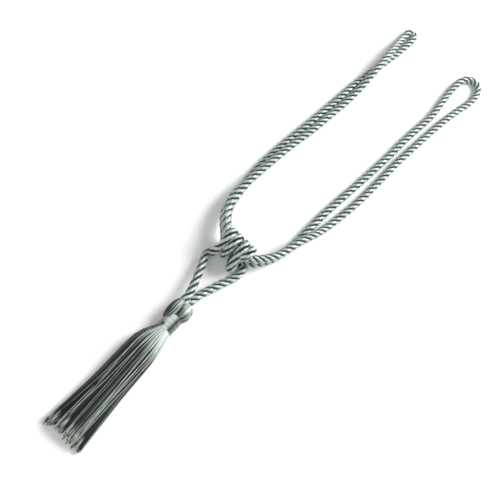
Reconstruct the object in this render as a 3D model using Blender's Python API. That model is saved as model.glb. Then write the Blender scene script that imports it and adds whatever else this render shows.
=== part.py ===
"""Curtain tieback with a tassel, lying flat on a table.

A long twisted rope is folded double into two arms that end in loops. A second rope rises from the
tassel, is wound four times round the middle of the arms as a knot, and comes back down to the
tassel. The tassel is one bundle of yarn, folded over into a head, bound by a wound neck band and
left loose below it as a skirt of locks.

The tables are in millimetres on a plan seen from above: x runs across, y from the skirt's end
towards the loops, and z up from the table. Objects are in metres, with the origin under the middle
of the whole tieback's box.
"""

import math
import random

import bmesh
import bpy
from mathutils import Vector

MM = 0.001
PLAN_MIDDLE_X = 4.12  # the plan's middle of the whole box
PLAN_MIDDLE_Y = -0.2

# ---- driving dimensions, in millimetres ----
ROPE_DIAMETER = 5.8
ROPE_LAY = 17.1  # length in which a strand goes once round the rope
STRANDS = 3
GROOVE_RADIUS = 2.05  # from the rope's middle to the bottom of the groove between two strands
RINGS_PER_LAY = 7
GAP = 0.3  # between two pieces that touch on the real thing

KNOT_PITCH = 6.2  # from one turn of the knot to the next
TURN_STATIONS = 10  # route points in one turn of the knot
HANG_DRIFT = 0.3  # how far the turn that hangs out in front leans right, for each unit that it hangs
HANG_DROP = 0.35  # and how far it sinks
TURN_THICKNESS = 0.97  # the knot's rope is drawn tight, so it is a little thinner

BAND_CENTRE_X = -5.0
BAND_CENTRE_Z = 6.8
BAND_TOP_Y = -125.4
BAND_LENGTH = 10.4
BAND_RADIUS = 6.7
BAND_THICKNESS = 0.95
BAND_SIDES = 32

LOCK_COLUMNS = 16
LOCK_ROWS = 9
LOCK_GAP = 0.3
LOCK_STAGGER = 0.25  # of a column: rows lean left and right by turns, so no gap runs right through
LOCK_ROOT_Y = -137.6
LOCK_STATIONS_Y = (-143.0, -152.0, -186.0)
SKIRT_END_Y = -228.0
RAGGED = 2.6  # most that a lock's tip lies short of or past the skirt's end
TIP_TAPER = 0.62
CROWN_DROP = 0.78  # how far the skirt's top falls away towards its sides

ROPE_RADIUS = ROPE_DIAMETER / 2
STACK = ROPE_DIAMETER + GAP  # between the middles of two ropes that touch
KNOT_MIDDLE_Y = -56.2
KNOT_MIDDLE_Z = 1.5 * STACK + ROPE_RADIUS
LOWER_Z = KNOT_MIDDLE_Z - STACK / 2
UPPER_Z = KNOT_MIDDLE_Z + STACK / 2
ARM_END_X = -8.3  # inside the knot, where the two arms meet
FLOOR_Z = ROPE_RADIUS  # height of a rope's middle where it lies on the table

# ---- routes: middle of the rope, (x, y, z) ----
LEFT_ARM = [
    (ARM_END_X - GAP / 2, KNOT_MIDDLE_Y, LOWER_Z),
    (-14.0, KNOT_MIDDLE_Y, LOWER_Z),
    (-18.6, -56.1, LOWER_Z),
    (-22.4, -53.9, 8.5),
    (-24.2, -49.8, 7.6),
    (-26.4, -45.0, 6.5),
    (-28.9, -40.6, 5.5),
    (-31.4, -33.6, 4.2),
    (-33.2, -24.0, 3.2),
    (-34.9, -10.0, FLOOR_Z),
    (-36.4, 5.0, FLOOR_Z),
    (-37.0, 22.0, FLOOR_Z),
    (-36.5, 42.0, FLOOR_Z),
    (-35.2, 62.0, FLOOR_Z),
    (-33.9, 84.0, FLOOR_Z),
    (-32.8, 106.0, FLOOR_Z),
    (-31.8, 130.0, FLOOR_Z),
    (-29.9, 153.0, FLOOR_Z),
    (-27.4, 173.0, FLOOR_Z),
    (-25.7, 191.0, FLOOR_Z),
    (-25.0, 205.0, FLOOR_Z),
    (-25.0, 213.0, FLOOR_Z),
    (-26.0, 216.2, FLOOR_Z),
    (-28.4, 217.6, FLOOR_Z),
    (-30.8, 216.2, FLOOR_Z),
    (-31.8, 213.0, FLOOR_Z),
    (-31.5, 206.0, 3.2),
    (-31.2, 197.0, 4.9),
    (-30.5, 186.0, 7.4),
    (-29.4, 173.0, 9.0),
    (-28.4, 159.0, 9.4),
    (-27.4, 145.0, 8.4),
    (-26.5, 131.0, 6.6),
    (-26.6, 114.0, 5.1),
    (-27.7, 94.0, 5.1),
    (-28.8, 74.0, 5.8),
    (-30.6, 54.0, 6.8),
    (-32.3, 36.0, 7.5),
    (-33.4, 18.0, 8.2),
    (-34.1, 0.0, 8.8),
    (-33.4, -13.0, 9.1),
    (-31.7, -25.0, 9.7),
    (-29.2, -34.6, 10.8),
    (-26.6, -41.6, 12.2),
    (-24.6, -48.0, 13.6),
    (-22.6, -53.6, 14.8),
    (-18.6, -56.1, UPPER_Z),
    (-14.0, KNOT_MIDDLE_Y, UPPER_Z),
    (ARM_END_X - GAP / 2, KNOT_MIDDLE_Y, UPPER_Z),
]
RIGHT_ARM = [
    (ARM_END_X + GAP / 2, KNOT_MIDDLE_Y, UPPER_Z),
    (-2.6, KNOT_MIDDLE_Y, UPPER_Z),
    (2.2, -55.9, UPPER_Z),
    (6.6, -53.0, 14.6),
    (10.8, -47.2, 13.2),
    (14.6, -39.8, 11.6),
    (17.6, -31.0, 10.2),
    (19.6, -21.5, 9.3),
    (21.4, -12.5, 8.8),
    (24.2, -3.0, 7.4),
    (27.2, 9.0, 4.4),
    (29.2, 21.0, FLOOR_Z),
    (31.4, 38.0, FLOOR_Z),
    (33.1, 58.0, FLOOR_Z),
    (33.9, 80.0, FLOOR_Z),
    (34.4, 104.0, FLOOR_Z),
    (35.7, 127.0, FLOOR_Z),
    (37.3, 149.0, FLOOR_Z),
    (39.3, 171.0, FLOOR_Z),
    (42.2, 191.0, FLOOR_Z),
    (44.9, 207.0, FLOOR_Z),
    (45.0, 217.5, FLOOR_Z),
    (42.0, 225.0, FLOOR_Z),
    (36.6, 227.8, FLOOR_Z),
    (30.6, 224.6, FLOOR_Z),
    (27.3, 216.0, FLOOR_Z),
    (26.8, 202.0, FLOOR_Z),
    (28.0, 184.0, FLOOR_Z),
    (29.2, 166.0, FLOOR_Z),
    (28.0, 147.0, FLOOR_Z),
    (26.7, 128.0, FLOOR_Z),
    (26.1, 106.0, FLOOR_Z),
    (24.9, 84.0, FLOOR_Z),
    (23.4, 62.0, FLOOR_Z),
    (21.6, 40.0, FLOOR_Z),
    (20.3, 20.0, FLOOR_Z),
    (19.9, 3.0, FLOOR_Z),
    (19.9, -9.0, FLOOR_Z),
    (19.1, -20.0, 3.2),
    (17.2, -31.5, 4.1),
    (14.2, -40.9, 5.7),
    (10.9, -48.2, 7.3),
    (7.0, -53.9, 8.5),
    (2.6, -56.1, LOWER_Z),
    (-2.6, KNOT_MIDDLE_Y, LOWER_Z),
    (ARM_END_X + GAP / 2, KNOT_MIDDLE_Y, LOWER_Z),
]
LEFT_LEG = [  # from the tassel's head up to the knot
    (-7.9, -110.6, 9.9),
    (-8.3, -105.0, 9.7),
    (-10.0, -98.0, 9.0),
    (-12.8, -89.0, 7.8),
    (-15.8, -80.5, 6.2),
    (-18.6, -73.4, 4.8),
    (-20.2, -68.2, 5.0),
    (-19.6, -64.2, 7.6),
]
RIGHT_LEG = [  # from under the arms down to the tassel's head
    (4.2, -58.0, FLOOR_Z),
    (5.5, -63.0, FLOOR_Z),
    (5.4, -68.6, FLOOR_Z),
    (3.6, -75.6, FLOOR_Z),
    (0.8, -83.6, 3.0),
    (-2.0, -92.6, 3.2),
    (-3.8, -101.0, 3.6),
    (-4.4, -110.6, 4.1),
]
# the knot's turns over the top: x in front, on top and at the back, and how far the front hangs out
TURNS = [
    {"front": -17.6, "top": -17.9, "back": -17.9, "hangs": 0.0},
    {"front": -11.5, "top": -11.7, "back": -11.7, "hangs": 0.0},
    {"front": -5.4, "top": -5.6, "back": -5.5, "hangs": 6.8},
    {"front": 0.7, "top": 0.7, "back": 0.7, "hangs": 0.0},
]

# ---- the yarn bundle's sections, from the skirt's root up to the head's top ----
HEAD = [  # y, middle x, middle z, half width, half height, depth of the grooves between yarns
    {"y": -136.4, "x": -4.9, "z": 6.8, "wide": 5.4, "high": 5.4, "groove": 0.0},
    {"y": -135.6, "x": -4.9, "z": 6.8, "wide": 5.4, "high": 5.4, "groove": 0.0},
    {"y": -124.9, "x": -5.1, "z": 6.8, "wide": 5.4, "high": 5.4, "groove": 0.0},
    {"y": -124.2, "x": -5.3, "z": 6.9, "wide": 6.6, "high": 6.5, "groove": 0.25},
    {"y": -122.4, "x": -5.4, "z": 6.7, "wide": 7.2, "high": 7.3, "groove": 0.35},
    {"y": -119.0, "x": -5.5, "z": 6.7, "wide": 7.4, "high": 7.5, "groove": 0.40},
    {"y": -115.4, "x": -5.6, "z": 6.7, "wide": 7.2, "high": 7.4, "groove": 0.40},
    {"y": -112.8, "x": -5.8, "z": 6.9, "wide": 6.4, "high": 6.5, "groove": 0.35},
    {"y": -111.0, "x": -6.0, "z": 7.0, "wide": 5.2, "high": 5.8, "groove": 0.20},
]
# ---- the skirt's sections, from its root to its end; flat is 0 for round and 1 for flat below ----
SKIRT = [
    {"y": LOCK_ROOT_Y, "x": -4.7, "base": 0.5, "wide": 6.4, "high": 12.6, "flat": 0.0},
    {"y": -143.0, "x": -5.2, "base": 0.2, "wide": 8.9, "high": 12.6, "flat": 0.6},
    {"y": -152.0, "x": -5.2, "base": 0.0, "wide": 10.2, "high": 12.0, "flat": 1.0},
    {"y": -186.0, "x": -3.8, "base": 0.0, "wide": 11.1, "high": 9.8, "flat": 1.0},
    {"y": SKIRT_END_Y - RAGGED, "x": -2.7, "base": 0.0, "wide": 15.2, "high": 7.0, "flat": 1.0},
]

COLOURS = {  # linear base colour, roughness
    "rope": ((0.33, 0.45, 0.39, 1.0), 0.38),
    "knot_rope": ((0.35, 0.47, 0.41, 1.0), 0.38),
    "yarn": ((0.20, 0.27, 0.24, 1.0), 0.42),
    "band": ((0.40, 0.52, 0.45, 1.0), 0.30),
}


def to_world(x, y, z):
    """A point of the plan, in millimetres, as a point in metres round the origin."""
    return Vector(((x - PLAN_MIDDLE_X) * MM, (y - PLAN_MIDDLE_Y) * MM, z * MM))


def clear_scene():
    for obj in list(bpy.data.objects):
        bpy.data.objects.remove(obj, do_unlink=True)


def make_material(name):
    colour, roughness = COLOURS[name]
    material = bpy.data.materials.new(name)
    material.use_nodes = True
    shader = material.node_tree.nodes["Principled BSDF"]
    shader.inputs["Base Color"].default_value = colour
    shader.inputs["Roughness"].default_value = roughness
    shader.inputs["Metallic"].default_value = 0.0
    return material


def add_object(name, mesh, material):
    obj = bpy.data.objects.new(name, mesh)
    obj.data.materials.append(material)
    bpy.context.scene.collection.objects.link(obj)
    mesh.shade_smooth()
    return obj


def smooth_curve(route, steps=12):
    """Points along a Catmull-Rom curve through every point of the route."""
    points = [Vector(p) for p in route]
    ends = [2 * points[0] - points[1]] + points + [2 * points[-1] - points[-2]]
    curve = []
    for before, start, end, after in zip(ends, ends[1:], ends[2:], ends[3:]):
        for step in range(steps):
            t = step / steps
            curve.append(
                0.5
                * (
                    2 * start
                    + (end - before) * t
                    + (2 * before - 5 * start + 4 * end - after) * t**2
                    + (3 * start - before - 3 * end + after) * t**3
                )
            )
    curve.append(points[-1])
    return curve


def evenly(curve, spacing):
    """The curve read again at equal steps, as near to the spacing as a whole number allows."""
    lengths = [0.0]
    for a, b in zip(curve, curve[1:]):
        lengths.append(lengths[-1] + (b - a).length)
    count = max(2, round(lengths[-1] / spacing))
    even = []
    segment = 0
    for i in range(count + 1):
        wanted = lengths[-1] * i / count
        while segment < len(curve) - 2 and lengths[segment + 1] < wanted:
            segment += 1
        share = (wanted - lengths[segment]) / (lengths[segment + 1] - lengths[segment])
        even.append(curve[segment].lerp(curve[segment + 1], share))
    return even


def rope_mesh(name, route, thickness=None):
    """A rope of three right-hand strands: a lobed ring that turns as it goes along the route.

    thickness(middle) scales the ring at that point, for a stretch that is drawn tight.
    """
    middles = evenly(smooth_curve(route), ROPE_LAY / RINGS_PER_LAY)
    corners = 2 * STRANDS
    bm = bmesh.new()
    side = Vector((0.0, 0.0, 1.0))
    rings = []
    for i, middle in enumerate(middles):
        ahead = middles[min(i + 1, len(middles) - 1)] - middles[max(i - 1, 0)]
        ahead.normalize()
        side = (side - ahead * side.dot(ahead)).normalized()  # carried along without turning
        across = ahead.cross(side)
        scale = thickness(middle) if thickness else 1.0
        turn = 2 * math.pi * i / RINGS_PER_LAY
        ring = []
        for corner in range(corners):
            angle = turn + 2 * math.pi * corner / corners
            radius = scale * (ROPE_RADIUS if corner % 2 == 0 else GROOVE_RADIUS)
            point = middle + radius * (math.cos(angle) * side + math.sin(angle) * across)
            point.z = max(point.z, 0.0)  # pressed flat where it lies on the table
            ring.append(bm.verts.new(to_world(*point)))
        rings.append(ring)
    for ring, following in zip(rings, rings[1:]):
        for corner in range(corners):
            after = (corner + 1) % corners
            bm.faces.new((ring[corner], ring[after], following[corner]))
            bm.faces.new((ring[after], following[after], following[corner]))
    bm.faces.new(list(reversed(rings[0])))
    bm.faces.new(rings[-1])
    bmesh.ops.recalc_face_normals(bm, faces=bm.faces)
    mesh = bpy.data.meshes.new(name)
    bm.to_mesh(mesh)
    bm.free()
    return mesh


def racetrack(share):
    """A turn's outline round the two stacked ropes: (forward, up) from the knot's middle.

    share 0 is the front, 0.25 the top, 0.5 the back and 0.75 the underside.
    """
    straight = STACK  # each side is straight between the two ropes' middles
    arc = math.pi * STACK
    run = (share % 1.0) * 2 * (straight + arc)
    if run < straight / 2:
        return -STACK, run
    run -= straight / 2
    if run < arc:
        angle = run / STACK
        return -STACK * math.cos(angle), straight / 2 + STACK * math.sin(angle)
    run -= arc
    if run < straight:
        return STACK, straight / 2 - run
    run -= straight
    if run < arc:
        angle = run / STACK
        return STACK * math.cos(angle), -straight / 2 - STACK * math.sin(angle)
    return -STACK, run - arc - straight / 2


def between(low, high, share):
    smooth = share * share * (3 - 2 * share)
    return low + (high - low) * smooth


def knot_turns():
    """Route points of the turns: over the top from front to back, then under to the next turn."""
    points = []
    for index, turn in enumerate(TURNS):
        last = index == len(TURNS) - 1
        next_front = turn["back"] + KNOT_PITCH if last else TURNS[index + 1]["front"]
        next_hangs = 0.0 if last else TURNS[index + 1]["hangs"]
        for station in range(TURN_STATIONS):
            share = station / TURN_STATIONS
            forward, up = racetrack(share)
            if share < 0.25:
                x = between(turn["front"], turn["top"], share / 0.25)
                hangs = turn["hangs"] * (1 - share / 0.25) ** 2
            elif share < 0.5:
                x = between(turn["top"], turn["back"], (share - 0.25) / 0.25)
                hangs = 0.0
            else:
                x = turn["back"] + (next_front - turn["back"]) * (share - 0.5) / 0.5
                hangs = between(0.0, next_hangs, max(0.0, (share - 0.7) / 0.3))
            if last and share > 0.75:
                break
            x += HANG_DRIFT * hangs
            z = KNOT_MIDDLE_Z + up - HANG_DROP * hangs
            points.append((x, KNOT_MIDDLE_Y + forward - hangs, z))
    return points


def make_arms(material):
    for name, route in (("arm_rope_left", LEFT_ARM), ("arm_rope_right", RIGHT_ARM)):
        add_object(name, rope_mesh(name, route), material)


def make_hanging_rope(material):
    """One rope: up from the tassel, four turns as the knot, and down to the tassel."""
    route = LEFT_LEG + knot_turns() + RIGHT_LEG

    def thickness(point):
        near = abs(point.y - KNOT_MIDDLE_Y) < 2 * STACK
        return TURN_THICKNESS if near else 1.0

    add_object("hanging_rope", rope_mesh("hanging_rope", route, thickness), material)


def section_at(y):
    """The skirt's section at y, read between the two rows of the table round it."""
    for row, following in zip(SKIRT, SKIRT[1:]):
        if y >= following["y"] or following is SKIRT[-1]:
            share = min(1.0, (row["y"] - y) / (row["y"] - following["y"]))
            return {key: row[key] + (following[key] - row[key]) * share for key in row}


def in_section(u, v, y):
    """The plan point at (u, v), each from -1 to 1, in the skirt's section at y."""
    section = section_at(y)
    round_u = u * math.sqrt(1 - v * v / 2)
    round_v = v * math.sqrt(1 - u * u / 2)
    crown = math.sqrt(1 - CROWN_DROP * u * u)
    across = round_u + (u - round_u) * section["flat"]
    up_round = (1 + round_v) / 2
    up_flat = crown * (1 + v) / 2
    up = up_round + (up_flat - up_round) * section["flat"]
    x = section["x"] + section["wide"] * across
    return (x, y, section["base"] + section["high"] * up)


def lock_corner(cell, corner, y, taper, stagger):
    """A corner of one lock at y: its cell's corner, drawn in by half the gap, or more at the tip."""
    u, v = cell
    u = (u + 2 * stagger / LOCK_COLUMNS) * LOCK_COLUMNS / (LOCK_COLUMNS + 2 * abs(stagger))
    half_u = 1.0 / (LOCK_COLUMNS + 2 * abs(stagger))
    half_v = 1.0 / LOCK_ROWS
    section = section_at(y)
    inset_u = LOCK_GAP / 2 / section["wide"]
    inset_v = LOCK_GAP / section["high"]
    side_u, side_v = corner
    reach_u = (half_u - inset_u) * taper
    reach_v = (half_v - inset_v) * taper
    lies_on_table = v - half_v < -1 + 1e-6 and y < LOCK_ROOT_Y
    low = -half_v if lies_on_table else -reach_v
    return in_section(u + side_u * reach_u, v + (reach_v if side_v > 0 else low), y)


def make_tassel(material):
    """Head, neck and skirt in one bundle: locks drawn out of the cells of its lower face."""
    rng = random.Random(7)
    bm = bmesh.new()
    grid = bmesh.ops.create_grid(bm, x_segments=LOCK_COLUMNS, y_segments=LOCK_ROWS, size=1.0)
    places = {vert: (vert.co.x, vert.co.y) for vert in grid["verts"]}
    cells = {}
    for face in bm.faces:
        middle = face.calc_center_median()
        cells[face] = (middle.x, middle.y)
    border = [edge for edge in bm.edges if edge.is_boundary]
    for vert, (u, v) in places.items():
        vert.co = to_world(*in_section(u, v, LOCK_ROOT_Y))

    for face, cell in cells.items():
        tip_y = SKIRT_END_Y + rng.uniform(-RAGGED, RAGGED)
        corners = [
            (math.copysign(1, places[v][0] - cell[0]), math.copysign(1, places[v][1] - cell[1]))
            for v in face.verts
        ]
        row = round((cell[1] + 1) * LOCK_ROWS / 2 - 0.5)
        stagger = LOCK_STAGGER if row % 2 else -LOCK_STAGGER
        stations = [(LOCK_ROOT_Y, 1.0, 0.0)]
        stations += [(y, 1.0, stagger) for y in LOCK_STATIONS_Y]
        stations += [(tip_y, TIP_TAPER, stagger)]
        for y, taper, lean in stations:
            drawn = bmesh.ops.extrude_discrete_faces(bm, faces=[face])["faces"][0]
            for vert, corner in zip(drawn.verts, corners):
                vert.co = to_world(*lock_corner(cell, corner, y, taper, lean))
            face = drawn

    edges = border
    loop_places = {vert: places[vert] for edge in border for vert in edge.verts}
    for row in HEAD:
        grown = bmesh.ops.extrude_edge_only(bm, edges=edges)["geom"]
        verts = [item for item in grown if isinstance(item, bmesh.types.BMVert)]
        edges = [item for item in grown if isinstance(item, bmesh.types.BMEdge)]
        following = {}
        for vert in verts:
            linked = [edge.other_vert(vert) for edge in vert.link_edges]
            source = next(other for other in linked if other in loop_places)
            following[vert] = loop_places[source]
        for vert, (u, v) in following.items():
            across = u * math.sqrt(1 - v * v / 2)
            up = v * math.sqrt(1 - u * u / 2)
            column = round((u + 1) * LOCK_COLUMNS / 2) + round((v + 1) * LOCK_ROWS / 2)
            groove = row["groove"] if column % 2 else 0.0
            x = row["x"] + (row["wide"] - groove) * across
            z = row["z"] + (row["high"] - groove) * up
            vert.co = to_world(x, row["y"], max(z, 0.0))  # pressed flat on the table below
        loop_places = following
    bmesh.ops.contextual_create(bm, geom=edges)
    bmesh.ops.recalc_face_normals(bm, faces=bm.faces)
    mesh = bpy.data.meshes.new("tassel_yarn")
    bm.to_mesh(mesh)
    bm.free()
    add_object("tassel_yarn", mesh, material)


def make_neck_band(material):
    """The wound band round the neck: a profile turned about the tassel's middle line."""
    outer = BAND_RADIUS
    inner = BAND_RADIUS - BAND_THICKNESS
    edge = BAND_THICKNESS * 0.45
    top = BAND_TOP_Y
    end = BAND_TOP_Y - BAND_LENGTH
    profile = [
        (inner, top),
        (outer - edge, top),
        (outer, top - edge),
        (outer, end + edge),
        (outer - edge, end),
        (inner, end),
    ]
    bm = bmesh.new()
    verts = [
        bm.verts.new(to_world(BAND_CENTRE_X + radius, y, BAND_CENTRE_Z)) for radius, y in profile
    ]
    edges = [bm.edges.new((a, b)) for a, b in zip(verts, verts[1:] + verts[:1])]
    bmesh.ops.spin(
        bm,
        geom=verts + edges,
        cent=to_world(BAND_CENTRE_X, 0.0, BAND_CENTRE_Z),
        axis=(0.0, 1.0, 0.0),
        angle=2 * math.pi,
        steps=BAND_SIDES,
        use_merge=True,
    )
    bmesh.ops.recalc_face_normals(bm, faces=bm.faces)
    mesh = bpy.data.meshes.new("neck_band")
    bm.to_mesh(mesh)
    bm.free()
    add_object("neck_band", mesh, material)


def main():
    clear_scene()
    make_arms(make_material("rope"))
    make_hanging_rope(make_material("knot_rope"))
    make_tassel(make_material("yarn"))
    make_neck_band(make_material("band"))


main()
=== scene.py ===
# %% [markdown]
# # A curtain tieback with a tassel
#
# This tieback lies on a white table. A long satin rope is folded double into two arms that end in
# loops. A second rope of the same kind is wound round the middle of the arms as a knot, and both
# of its ends go down to a tassel: a rounded head of folded yarn, a neck bound with floss, and a
# skirt of loose yarn.

# %% Load the frame that the pieces are dressed on
import math
import random

import bpy
import numpy as np
from mathutils import Matrix, Vector


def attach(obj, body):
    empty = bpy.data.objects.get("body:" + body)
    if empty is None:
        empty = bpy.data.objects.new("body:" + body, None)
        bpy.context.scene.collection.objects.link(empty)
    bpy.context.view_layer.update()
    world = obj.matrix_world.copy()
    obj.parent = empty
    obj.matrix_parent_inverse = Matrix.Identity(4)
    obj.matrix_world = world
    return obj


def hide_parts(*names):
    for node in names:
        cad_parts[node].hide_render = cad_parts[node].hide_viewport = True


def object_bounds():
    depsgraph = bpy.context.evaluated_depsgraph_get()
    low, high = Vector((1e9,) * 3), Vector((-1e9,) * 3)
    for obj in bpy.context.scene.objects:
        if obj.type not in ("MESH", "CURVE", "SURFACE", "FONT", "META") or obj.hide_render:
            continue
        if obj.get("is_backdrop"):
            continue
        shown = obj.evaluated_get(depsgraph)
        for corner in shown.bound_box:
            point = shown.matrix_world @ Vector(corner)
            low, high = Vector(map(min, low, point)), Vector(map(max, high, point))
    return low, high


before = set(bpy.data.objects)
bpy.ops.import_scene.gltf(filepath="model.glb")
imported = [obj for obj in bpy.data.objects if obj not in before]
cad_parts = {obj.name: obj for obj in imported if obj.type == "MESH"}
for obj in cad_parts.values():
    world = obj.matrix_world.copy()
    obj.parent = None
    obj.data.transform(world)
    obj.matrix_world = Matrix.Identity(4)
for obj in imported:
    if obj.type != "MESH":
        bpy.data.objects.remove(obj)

CAD_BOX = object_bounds()


def in_mm(values):
    """Lengths in metres as millimetres, rounded for printing."""
    return [round(1000 * value, 1) for value in values]


print("the plain model measures", in_mm(high - low for low, high in zip(*CAD_BOX)), "mm")

# %% [markdown]
# ## Lengths and colours
#
# The rope's routes were read off a plan of the table in millimetres. The plan's own zero is not
# the middle of the tieback, so one function turns a point of the plan into a point in metres.
# A second one turns a hexadecimal screen colour into the linear numbers that a shader expects.

# %% Units and colours
MM = 0.001  # in metres, the scene's unit
PLAN_MIDDLE = Vector((4.12, -0.2, 0.0))  # where the tieback's middle lies on the plan, mm


def to_world(point):
    """A plan point in millimetres as a point of the scene in metres."""
    return (Vector(point) - PLAN_MIDDLE) * MM


def linear(hex_colour):
    """A screen colour such as "#8FA89C" as linear red, green, blue and alpha."""
    channels = [int(hex_colour[i : i + 2], 16) / 255 for i in (1, 3, 5)]
    return [c / 12.92 if c <= 0.04045 else ((c + 0.055) / 1.055) ** 2.4 for c in channels] + [1.0]


print("the plan's zero lies at", in_mm(to_world((0, 0, 0))), "mm in the scene")

# %% [markdown]
# ## The camera
#
# Two lengths of the tieback are known, 450 mm from the left loop to the skirt's end and 120 mm for
# the tassel. They come out at different scales in the picture, because the camera looks at the
# table at a slant. Once a lens of 72 mm is chosen, they fix where the camera stood: 591 mm above
# the table and 176 mm beyond the skirt's end, tilted 31.7 degrees from straight down, and turned
# so that the tieback runs from corner to corner. It could be moved by eye until the picture fits,
# but here it is worked out at the start.

# %% Place the camera
CAMERA_FOOT = (0.0, -406.3)  # below the camera, on the plan, mm
CAMERA_HEIGHT = 591.0  # mm
CAMERA_TILT = math.radians(31.7)  # from straight down
PICTURE_TURN = math.radians(45.70)  # between the plan's across and the picture's across
FOCAL_MM = 72.0
SENSOR_MM = 36.0
NEAREST_SEEN = 0.01  # m


def place_camera():
    """A camera whose right, up and back directions are worked out from the tilt and the turn."""
    look = Vector((0, math.sin(CAMERA_TILT), -math.cos(CAMERA_TILT)))
    away = Vector((0, math.cos(CAMERA_TILT), math.sin(CAMERA_TILT)))
    across = Vector((1, 0, 0))
    c, s = math.cos(PICTURE_TURN), math.sin(PICTURE_TURN)
    right = away * c + across * s
    up = away * s - across * c
    turn = Matrix((right, up, -look)).transposed().to_4x4()
    data = bpy.data.cameras.new("camera")
    data.lens = FOCAL_MM
    data.sensor_width = SENSOR_MM
    data.dof.use_dof = False
    data.clip_start = NEAREST_SEEN
    camera = bpy.data.objects.new("camera", data)
    bpy.context.scene.collection.objects.link(camera)
    foot = to_world((*CAMERA_FOOT, CAMERA_HEIGHT))
    camera.matrix_world = Matrix.Translation(foot) @ turn
    bpy.context.scene.camera = camera
    return camera


print("the camera stands at", in_mm(place_camera().matrix_world.translation), "mm")

# %% [markdown]
# ## The ropes' routes
#
# A rope is a fixed length of something limp, so it starts as a line, not as a shape. The points
# below lie on the rope's middle: the two arms run from inside the knot out to a loop and back,
# and the hanging rope runs from the tassel's head up to the knot, four times round both arms and
# down again. A curve could be drawn by hand in the viewport, but a table of points is easier to
# measure and to correct. Where two ropes cross, the upper one's points are higher by a rope's
# thickness, and a rope that lies on the table has its middle half a thickness up.

# %% The rope's own sizes, in millimetres
ROPE_DIAMETER = 5.8
ROPE_RADIUS = ROPE_DIAMETER / 2
ROPE_LAY = 22.8  # length in which a strand goes once round the rope
GAP = 0.3  # between two ropes that lie against each other
FLOOR_Z = ROPE_RADIUS  # the rope's middle where it lies on the table
STACK = ROPE_DIAMETER + GAP  # from a rope's middle to that of the next one on top of it
KNOT_MIDDLE_Y = -56.2
KNOT_MIDDLE_Z = 1.5 * STACK + ROPE_RADIUS  # a turn goes under both arms, so they lie this high
LOWER_Z = KNOT_MIDDLE_Z - STACK / 2  # the lower and the upper rope of the arms, in the knot
UPPER_Z = KNOT_MIDDLE_Z + STACK / 2
ARM_END_X = -8.3  # where the two arms meet inside the knot
print("in the knot the arms' ropes lie", round(LOWER_Z, 2), "and", round(UPPER_Z, 2), "mm up")

# %% The two arms
LEFT_ARM = [
    (ARM_END_X - GAP / 2, KNOT_MIDDLE_Y, LOWER_Z), (-14.0, KNOT_MIDDLE_Y, LOWER_Z),
    (-17.0, -55.4, LOWER_Z), (-19.9, -51.8, 8.5), (-23.1, -48.1, 7.6), (-26.1, -44.2, 6.5),
    (-28.8, -40.0, 5.5), (-31.8, -34.0, 4.2), (-33.7, -24.2, 3.2), (-35.3, -10.0, FLOOR_Z),
    (-36.6, 5.0, FLOOR_Z), (-37.0, 22.0, FLOOR_Z), (-36.5, 42.0, FLOOR_Z), (-35.2, 62.0, FLOOR_Z),
    (-33.9, 84.0, FLOOR_Z), (-32.8, 106.0, FLOOR_Z), (-31.8, 130.0, FLOOR_Z),
    (-29.9, 153.0, FLOOR_Z), (-27.4, 173.0, FLOOR_Z), (-25.7, 191.0, FLOOR_Z),
    (-25.0, 205.0, FLOOR_Z), (-25.0, 213.0, FLOOR_Z), (-26.0, 216.2, FLOOR_Z),
    (-28.4, 217.6, FLOOR_Z), (-30.8, 216.2, FLOOR_Z), (-31.8, 213.0, FLOOR_Z),
    (-31.5, 206.0, 3.2), (-31.2, 197.0, 4.9), (-30.5, 186.0, 7.4), (-29.4, 173.0, 9.0),
    (-28.4, 159.0, 9.4), (-27.4, 145.0, 8.4), (-26.5, 131.0, 6.6), (-26.6, 114.0, 5.1),
    (-27.7, 94.0, 5.1), (-28.8, 74.0, 5.8), (-30.6, 54.0, 6.8), (-32.3, 36.0, 7.5),
    (-33.4, 18.0, 8.2), (-34.3, 0.0, 8.8), (-34.4, -13.0, 9.1), (-33.4, -25.2, 9.7),
    (-31.0, -34.8, 10.8), (-27.8, -41.6, 12.2), (-24.2, -47.0, 13.6), (-20.4, -51.8, 14.8),
    (-17.0, -55.2, UPPER_Z), (-14.0, KNOT_MIDDLE_Y, UPPER_Z),
    (ARM_END_X - GAP / 2, KNOT_MIDDLE_Y, UPPER_Z),
]
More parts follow.
